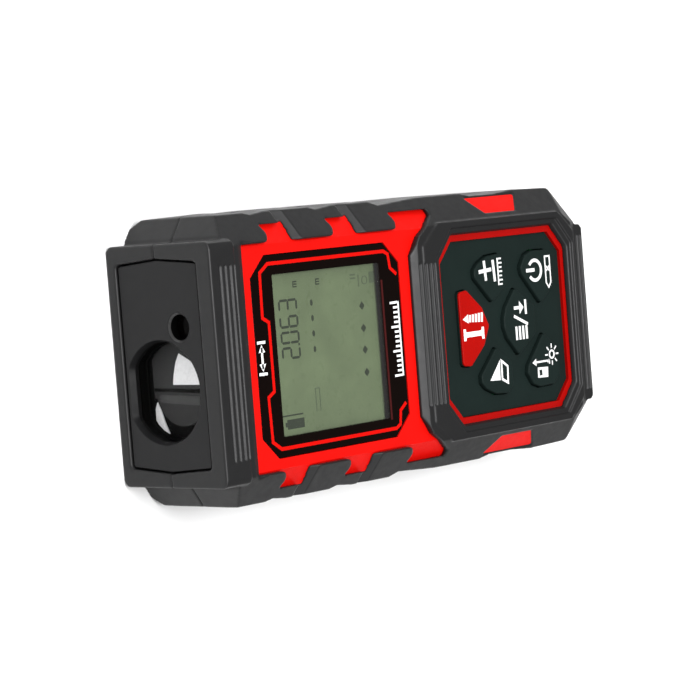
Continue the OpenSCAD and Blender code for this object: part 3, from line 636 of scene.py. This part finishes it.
window_low, window_high = box_mm("display_window")
lcd_low, lcd_high = box_mm("lcd_glass")
window_mid = (window_low + window_high) / 2
view_x = window_high.x - 3.9
view_rear, view_front = window_low.y + 6.05, window_high.y - 6.2
view = rounded(rectangle(-view_x, view_x, view_rear, view_front), 0.3)
add_object("display_border", plate([top_loops("display_window")[0], view], window_low.z, window_high.z, 0.14),
           MAT_PANEL, HOUSING, ["display_window"])
pane = rounded(rectangle(-view_x + 0.02, view_x - 0.02, view_rear + 0.02, view_front - 0.02), 0.3)
add_object("display_pane", plate([pane], window_high.z - 0.5, window_high.z - 0.04, 0.05), MAT_PANE, HOUSING)

# Red line round the border, open at the rear, with a notch at the front.
LINE_W = 0.72
half_line = [(13.1, -21.05), (14.5, -19.2), (17.3, -18.8), (18.0, -17.5), (18.0, 16.6), (16.4, 18.95),
             (7.7, 19.15), (6.7, 17.45)]
ink_or_shade_marks("border_line", [stroke(mirrored(half_line), LINE_W)], (0, window_mid.y), window_high.z, MAT_INK_RED,
      HOUSING, 0.02)
# Painted shade: a dark red bar along the rear edge of the viewing window.
ink_or_shade_marks("border_shade", [bar(-1.9, -16.3, 28.4, 0.55)], (0, window_mid.y), window_high.z, MAT_PAINTED_SHADE_RED,
      HOUSING, 0.015)

# Plain marks: a scale on the rear strip, and a span arrow on the front strip.
scale_marks = [bar(0, -20.85, 15.2, 0.42)]
for k in range(16):
    tall = 2.5 if k % 5 == 0 else 1.55
    scale_marks.append(bar(-7.4 + k * 14.8 / 15, -20.8 + tall / 2, 0.46, tall))
ink_or_shade_marks("border_scale", scale_marks, (0, window_mid.y), window_high.z, MAT_INK_WHITE, HOUSING,
      0.02)
span_marks = [bar(0, 20.05, 4.2, 0.55), bar(-3.05, 20.05, 0.55, 2.3), bar(3.05, 20.05, 0.55, 2.3)]
span_marks += [[(side * 2.6, 20.05), (side * 1.1, 20.95), (side * 1.1, 19.15)][::side] for side in (1, -1)]
ink_or_shade_marks("border_span", span_marks, (0, window_mid.y), window_high.z, MAT_INK_WHITE, HOUSING,
      0.02)


def segment(cx, cy, length, t, upright):
    """One bar of a seven-segment digit, pointed at both ends."""
    end, side = length / 2, t / 2
    points = [(-end, 0), (-end + side, -side), (end - side, -side),
              (end, 0), (end - side, side), (-end + side, side)]
    return moved(points, cx, cy, 90 if upright else 0)


def digit(segments, cx, cy, w, h, t):
    """A seven-segment digit from its lit segments a to g."""
    q, gap = h / 4, 0.12
    spots = {"a": (0, h / 2, 0), "b": (w / 2, q, 1), "c": (w / 2, -q, 1), "d": (0, -h / 2, 0),
             "e": (-w / 2, -q, 1), "f": (-w / 2, q, 1), "g": (0, 0, 0)}
    return [segment(cx + x, cy + y, (h / 2 if upright else w) - gap, t, upright)
            for name, (x, y, upright) in spots.items() if name in segments]


lcd_mid = (lcd_low.x + lcd_high.x) / 2, (lcd_low.y + lcd_high.y) / 2
DIGIT_W, DIGIT_H, DIGIT_T = 2.0, 4.9, 0.5
reading = []
for segments, x in (("abged", 0.1), ("abcdef", 3.15), ("acdefg", 6.25), ("abcdg", 9.45)):
    reading += digit(segments, x, 10.35, DIGIT_W, DIGIT_H, DIGIT_T)
reading.append(bar(1.62, 7.95, 0.45, 0.45))
for y in (7.9, 1.3):
    reading += [bar(x, y - 0.11, 0.26, 0.88) for x in (12.9, 13.4, 13.9)] + [bar(13.4, y + 0.5, 1.26, 0.22)]
reading += [segment(x, 3.5, 1.35, 0.7, False) for x in (9.4, 6.35, 3.3, 0.2)]
reading += [segment(x, -11.35, 1.7, 1.4, False) for x in (7.5, 3.0, -1.35, -5.9)]
reading += [bar(-12.0, 11.3, 0.3, 5.9), bar(-13.75, 10.6, 1.9, 4.9), bar(-13.75, 13.35, 0.9, 0.5)]
ink_or_shade_marks("display_reading", reading, lcd_mid, lcd_high.z + 0.01, MAT_SEGMENT, HOUSING, 0.03)
faint = [bar(13.2, -9.2, 0.35, 1.6), bar(13.9, -9.2, 0.35, 1.6), bar(12.6, -10.9, 2.4, 0.3),
         bar(13.0, -14.9, 2.3, 1.6), [circle(12.6, -12.7, 0.92, 24), circle(12.6, -12.7, 0.67, 24)]]
faint += [stroke([(-12.1, 4.3), (-7.5, 4.3), (-7.5, 3.1), (-12.1, 3.1)], 0.2)]
ink_or_shade_marks("display_ghosts", faint, lcd_mid, lcd_high.z + 0.01, MAT_SEGMENT_FAINT, HOUSING, 0.03)


# ---------------------------------------------------------------- label

# A plain ruled frame with empty rows, no lettering.
label_low, label_high = box_mm("rating_label")
label_x, label_y = (label_high.x - label_low.x) / 2 - 1.2, (label_high.y - label_low.y) / 2 - 1.2
label_frame = rectangle(-label_x, label_x, -label_y, label_y)
label_marks = [[label_frame, grown(label_frame, -0.3)]]
label_marks += [bar(0, y * label_y, 2 * label_x - 1.2, 0.22) for y in (-0.5, 0, 0.5)]
label_middle = (label_low.x + label_high.x) / 2, (label_low.y + label_high.y) / 2
ink_or_shade_marks("label_rules", label_marks, label_middle, label_low.z - 0.015, MAT_SEGMENT, HOUSING,
      0.02)


# ---------------------------------------------------------------- keys

mat_low, mat_high = box_mm("keypad_mat")
mat_face = plate(top_loops("keypad_mat"), mat_low.z + 0.7, mat_high.z, 0.1)
add_object("keypad_mat_face", mat_face, MAT_KEY, HOUSING, ["keypad_mat"])

KEY_EDGE = 0.3
for node in ("units_key", "power_key", "memory_key", "area_key", "reference_key"):
    low, high = box_mm(node)
    add_object(node + "_cap", plate([top_loops(node)[0]], low.z + 0.5, high.z, KEY_EDGE), MAT_KEY, node,
               [node])

RED_CAP_T = 0.62
low, high = box_mm("measure_key")
outline = top_loops("measure_key")[0]
add_object("measure_key_skirt", plate([outline], low.z + 0.5, high.z - RED_CAP_T + 0.1, 0.05), MAT_KEY,
           "measure_key")
add_object("measure_key_cap", plate([outline], high.z - RED_CAP_T, high.z, 0.28), MAT_KEY_RED, "measure_key",
           ["measure_key"])


def legend(node, shapes):
    """White marks on a key, about the middle of its CAD node."""
    lo, hi = box_mm(node)
    middle = (lo.x + hi.x) / 2, (lo.y + hi.y) / 2
    ink_or_shade_marks(node + "_legend", shapes, middle, hi.z, MAT_INK_WHITE, node, 0.025)


def plus_sign(reach, half):
    """A plus sign whose four arms are 2 * half wide."""
    corner = [(-reach, -half), (-half, -half), (-half, -reach)]
    return [point for turn in (0, 90, 180, 270) for point in moved(corner, 0, 0, turn)]


# Measure: a standing beam and an arrow with a striped tail.
beam = [(-1.25, -2.75), (1.25, -2.75), (1.25, -2.05), (0.55, -1.85), (0.55, 3.1), (1.25, 3.3), (1.25, 4.0),
        (-1.25, 4.0), (-1.25, 3.3), (-0.55, 3.1), (-0.55, -1.85), (-1.25, -2.05)]
marks = [moved(beam, -1.3, 0), [(2.0, 4.0), (1.05, 2.15), (2.95, 2.15)]]
marks += [bar(2.0, 1.6 - 0.98 * k, 1.5 + 0.12 * k, 0.66, -6) for k in range(5)]
legend("measure_key", marks)

# Units: plus and minus over a short rule.
marks = [moved(plus_sign(2.1, 0.38), 1.7, 1.75, 4), bar(1.5, -1.2, 4.6, 0.75, 4)]
marks += [bar(1.2, -2.6, 5.8, 0.4)]
marks += [bar(-1.5 + 0.9 * k, -3.4, 0.36, 0.9 + 0.3 * (k % 2)) for k in range(7)]
legend("units_key", marks)

# Power ring, and an erase arrow under it.
marks = [ring(1.4, 0.75, 2.15, 0.72, 125, 415), bar(1.5, 2.3, 0.75, 2.9)]
tag = [(-2.9, -3.75), (-1.6, -2.75), (4.3, -2.75), (4.3, -4.75), (-1.6, -4.75)][::-1]
marks += [[tag, grown(tag, -0.38)], moved(plus_sign(0.75, 0.17), 1.5, -3.75, 45)]
legend("power_key", marks)

# Memory: a list, a stroke and a store arrow.
marks = [bar(-2.5, 1.5 - 1.15 * k, 2.9, 0.66) for k in range(4)]
marks += [bar(0.2, -0.25, 0.62, 5.0, -24)]
marks += [[(2.55, 1.85), (2.55, 0), (1.5, 0), (2.9, -1.45), (4.3, 0), (3.25, 0), (3.25, 1.85)],
          bar(2.9, -2.15, 3.1, 0.66)]
legend("memory_key", marks)

# Area: a solid triangle over an outlined floor.
floor_plan = [(-1.95, -1.15), (-3.1, -3.45), (0.9, -3.75), (2.55, -1.25)]
marks = [[(-1.75, 2.65), (-1.95, -0.75), (2.3, -0.95)], [floor_plan, grown(floor_plan, -0.5)]]
legend("area_key", marks)

# Reference: the meter with an arrow beside it, and a lamp.
meter = [(-3.85, -1.2), (-1.65, -1.35), (-1.5, 2.2), (-3.7, 2.35)]
arrow = [(-1.1, -2.2), (-0.15, -2.2), (-0.15, 2.6), (0.45, 2.6), (-0.35, 3.95), (-1.15, 2.6), (-0.55, 2.6),
         (-0.55, -1.8), (-1.1, -1.8)]
marks = [[meter, rectangle(-3.3, -2.05, 0.75, 1.75)], arrow,
         [circle(0.9, -3.0, 1.02, 32), circle(0.9, -3.0, 0.6, 32)]]
marks += [bar(0.9 + 1.85 * math.cos(math.radians(a)), -3.0 + 1.85 * math.sin(math.radians(a)), 0.95, 0.34, a)
          for a in range(0, 360, 45)]
legend("reference_key", marks)


# ---------------------------------------------------------------- nose

def d_shape(r, flat_z, steps=96):
    """A circle about the receiver's axis, cut off flat below flat_z, in x and z."""
    return [(x, max(z, flat_z)) for x, z in circle(lens_x, lens_z, r, steps)]


def pipe(name, outer, inner, outer_top, inner_top, bottom, material, stands_for=()):
    """A tube between two outlines, its front rim sloping from the outer to the inner one."""
    bands = [(outer, outer_top), (inner, inner_top), (inner, bottom), (outer, bottom)]
    add_object(name, sleeve(bands), material, HOUSING, stands_for)


lens_low, lens_high = box_mm("receiver_lens")
LENS_R = (lens_high.x - lens_low.x) / 2
lens_x, lens_z = lens_low.x + LENS_R, lens_high.z - LENS_R
outlet_low, outlet_high = box_mm("emitter_window")
outlet_x, outlet_z = (outlet_low.x + outlet_high.x) / 2, (outlet_low.z + outlet_high.z) / 2
nose_low, nose_high = box_mm("nose_plate")
HOLE_R, HOLE_FLAT = 10.15, 3.45
TUBE_R, TUBE_FLAT = HOLE_R - 0.4, HOLE_FLAT + 0.6
OUTLET_R, OUTLET_EDGE = 2.85, 0.35
FLANGE_T = 0.6
face_outline = top_loops("nose_plate", axis=1)[0]
turned = zip(face_outline, face_outline[1:] + face_outline[:1])
if sum(x0 * z1 - x1 * z0 for (x0, z0), (x1, z1) in turned) < 0:
    face_outline.reverse()

mouth, tube = d_shape(HOLE_R, HOLE_FLAT), d_shape(TUBE_R, TUBE_FLAT)
outlet = circle(outlet_x, outlet_z, OUTLET_R, 48)
outlet_inner = circle(outlet_x, outlet_z, OUTLET_R - OUTLET_EDGE, 48)
nose_face = plate([grown(face_outline, -0.3), mouth, outlet], nose_low.y + FLANGE_T + 0.02, nose_high.y, 0.18,
                  up="Y")
add_object("nose_face", nose_face, MAT_NOSE, HOUSING, ["nose_plate"])
# Painted shade: the plate's rear flange is optic black, not the plate's own plastic, standing in for the
# shade at the bottom of the gap round the plate.
nose_flange = plate([grown(face_outline, 0.08), mouth, outlet], nose_low.y + 0.02, nose_low.y + FLANGE_T,
                    up="Y")
add_object("nose_flange", nose_flange, MAT_OPTIC, HOUSING)

LINING_TOP = nose_high.y - 1.3
# The receiver bevel wears the darker nose plastic: painted shade inside the hole.
pipe("receiver_bevel", mouth, tube, nose_high.y - 0.1, LINING_TOP + 0.15, LINING_TOP, MAT_NOSE_SHADED)
pipe("receiver_lining", mouth, tube, LINING_TOP, LINING_TOP, nose_low.y, MAT_TUBE)
OUTLET_TOP = nose_high.y - 0.5
# The outlet bevel wears the paler plastic: a painted highlight round the emitter hole.
pipe("outlet_bevel", outlet, outlet_inner, nose_high.y - 0.05, OUTLET_TOP + 0.1, OUTLET_TOP, MAT_OUTLET_HIGHLIGHT)
pipe("outlet_lining", outlet, outlet_inner, OUTLET_TOP - 0.01, OUTLET_TOP - 0.01, nose_low.y + 0.02,
     MAT_OPTIC)


# ---------------------------------------------------------------- receiver lens

def facet(points, back, front, lean, edge):
    """A block behind the lens: an outline in x and z, its front face leaning back by lean at its top."""
    bm = bmesh.new()
    z0, z1 = min(z for x, z in points), max(z for x, z in points)
    rear = [bm.verts.new((x * MM, back * MM, z * MM)) for x, z in points]
    face = [bm.verts.new((x * MM, (front - lean * (z - z0) / (z1 - z0)) * MM, z * MM)) for x, z in points]
    bm.faces.new(rear)
    bm.faces.new(face[::-1])
    for k in range(len(points)):
        n = (k + 1) % len(points)
        bm.faces.new((rear[n], rear[k], face[k], face[n]))
    bmesh.ops.recalc_face_normals(bm, faces=bm.faces)
    bmesh.ops.bevel(bm, geom=bm.edges, offset=edge * MM, segments=2, affect="EDGES")
    mesh = bpy.data.meshes.new("facet")
    bm.to_mesh(mesh)
    bm.free()
    return mesh


# The lens, cut flat along its lower side like the tube that holds it.
pipe("lens_trim", d_shape(LENS_R, lens_low.z), d_shape(LENS_R - 0.2, lens_low.z + 0.3), lens_high.y + 0.38,
     lens_high.y + 0.2, lens_high.y - 0.45, MAT_OPTIC, ["lens_ring"])
lens_glass = dome(d_shape(LENS_R - 0.02, lens_low.z + 0.02), (lens_x, lens_z), lens_high.y - 0.6,
                  lens_high.y - 0.48, lens_high.y - 0.02)
add_object("lens_glass", lens_glass, MAT_LENS, HOUSING, ["receiver_lens"])
lens_well = plate([d_shape(LENS_R - 0.05, lens_low.z + 0.05)], lens_low.y, lens_low.y + 0.3, 0.05, up="Y")
add_object("lens_well", lens_well, MAT_OPTIC, HOUSING)

# What the lens shows: a grey field, two bright reflections painted as white blocks, and a dark and a pale
# line across the middle.
FIELD_Y = lens_low.y + 1.9
FIELD_FLAT = lens_low.z + 0.45
FIELD_WIDE, FIELD_NARROW, NARROW_FROM = LENS_R - 0.15, 7.1, -0.2


def field_point(angle):
    """A point of the field's rim, which runs closer to the middle on the left."""
    across, up = math.cos(angle), math.sin(angle)
    r = FIELD_WIDE if across > NARROW_FROM else FIELD_NARROW
    return lens_x + r * across, max(lens_z + r * up, FIELD_FLAT)


field = [field_point(math.radians(a)) for a in range(-120, 240, 4)]
field = [p for i, p in enumerate(field) if math.dist(p, field[i - 1]) > 0.05]
sector = [(2.1, 12.6), (0.6, 15.6), (-0.7, 16.9), (-2.3, 17.5), (-4.05, 17.6), (-4.0, 10.45), (-2.2, 10.75),
          (0.4, 11.6)]
glint = [(-8.8, 5.0), (-10.9, 4.95), (-11.7, 5.5), (-12.9, 6.9), (-13.6, 8.35), (-11.3, 7.2), (-8.8, 6.3),
         (-7.4, 5.6)]
dark_line = [(-5.28, 5.1), (-4.65, 5.1), (-4.85, 17.6), (-5.7, 17.6)]
pale_line = [(-7.5, 6.6), (-5.9, 6.6), (-6.35, 17.6), (-8.05, 17.6)]
for name, points, back, front, lean, edge, material, slot in (
        ("lens_field", field, -1.55, 0, 0, 0.06, MAT_FIELD, "optic_black"),
        ("lens_painted_reflection", sector, 0.01, 0.2, 0.1, 0.03, MAT_PAINTED_REFLECTION, "spring_steel"),
        ("lens_glint", glint, -0.2, 0.15, 0, 0.03, MAT_PAINTED_REFLECTION, "spring_steel"),
        ("lens_groove", dark_line, 0.01, 0.08, 0, 0.02, MAT_OPTIC, "optic_black"),
        ("lens_band", pale_line, 0.01, 0.2, 0, 0.08, MAT_BAND, "optic_black")):
    add_object(name, facet(points, FIELD_Y + back, FIELD_Y + front, lean, edge), material, HOUSING)


# ---------------------------------------------------------------- stage

def make_camera(azimuth, elevation, roll, target, distance, lens):
    """A camera that looks at target from that direction, turned about its own axis by roll, in degrees."""
    a, e = math.radians(azimuth), math.radians(elevation)
    back = Vector((math.sin(a) * math.cos(e), -math.cos(a) * math.cos(e), math.sin(e)))
    level = Vector((0, 0, 1)).cross(back).normalized()
    right = Matrix.Rotation(math.radians(roll), 3, back) @ level
    turn = Matrix((right, back.cross(right), back)).transposed()
    data = bpy.data.cameras.new("camera")
    data.lens = lens
    data.clip_start = 0.01
    camera = bpy.data.objects.new("camera", data)
    camera.matrix_world = Matrix.Translation((Vector(target) + back * distance) * MM) @ turn.to_4x4()
    bpy.context.scene.collection.objects.link(camera)
    bpy.context.scene.camera = camera


make_camera(azimuth=175.255, elevation=41.915, roll=88.68, target=(-1.99, 5.74, 14), distance=569.9,
            lens=142.41)


def area_light(name, place, aim, size, power):
    data = bpy.data.lights.new(name, "AREA")
    data.shape = "RECTANGLE"
    data.size, data.size_y = size
    data.energy = power
    light = bpy.data.objects.new(name, data)
    light.location = place
    light.rotation_euler = (Vector(aim) - Vector(place)).to_track_quat("-Z", "Y").to_euler()
    bpy.context.scene.collection.objects.link(light)


area_light("top softbox", (0.08, 0.26, 0.86), (0, 0, 0), (0.4, 0.4), 8)
area_light("front softbox", (-0.5, 0.7, 0.35), (0, 0, 0.01), (0.5, 0.4), 0.4)
area_light("side softbox", (0.7, 0.1, 0.45), (0, 0, 0.01), (0.4, 0.6), 2.1)

world = bpy.data.worlds.new("studio")
world.use_nodes = True
sky = world.node_tree.nodes["Background"]
sky.inputs["Color"].default_value = (1, 1, 1, 1)
heading = world.node_tree.nodes.new("ShaderNodeSeparateXYZ")
world.node_tree.links.new(world.node_tree.nodes.new("ShaderNodeTexCoord").outputs["Generated"],
                          heading.inputs["Vector"])
fade = world.node_tree.nodes.new("ShaderNodeMapRange")
for socket, value in (("From Min", -0.6), ("From Max", 0.3), ("To Min", 0.4), ("To Max", 0.8)):
    fade.inputs[socket].default_value = value
world.node_tree.links.new(heading.outputs["Y"], fade.inputs["Value"])
world.node_tree.links.new(fade.outputs["Result"], sky.inputs["Strength"])
bpy.context.scene.world = world
bpy.context.scene.view_settings.view_transform = "Standard"

bm = bmesh.new()
bmesh.ops.create_grid(bm, x_segments=4, y_segments=4, size=4)
floor_mesh = bpy.data.meshes.new("floor")
bm.to_mesh(floor_mesh)
bm.free()
floor = bpy.data.objects.new("floor", floor_mesh)
floor_look = Nodes("floor paper")
floor_look.link(floor_look.ramp(floor_look.noise(60, 2), [(0.3, (0.9, 0.9, 0.9)), (0.7, (0.93, 0.93, 0.93))]),
                floor_look.shader.inputs["Base Color"])
floor_look.set(Roughness=0.9)
floor_mesh.materials.append(floor_look.material)
bpy.context.scene.collection.objects.link(floor)
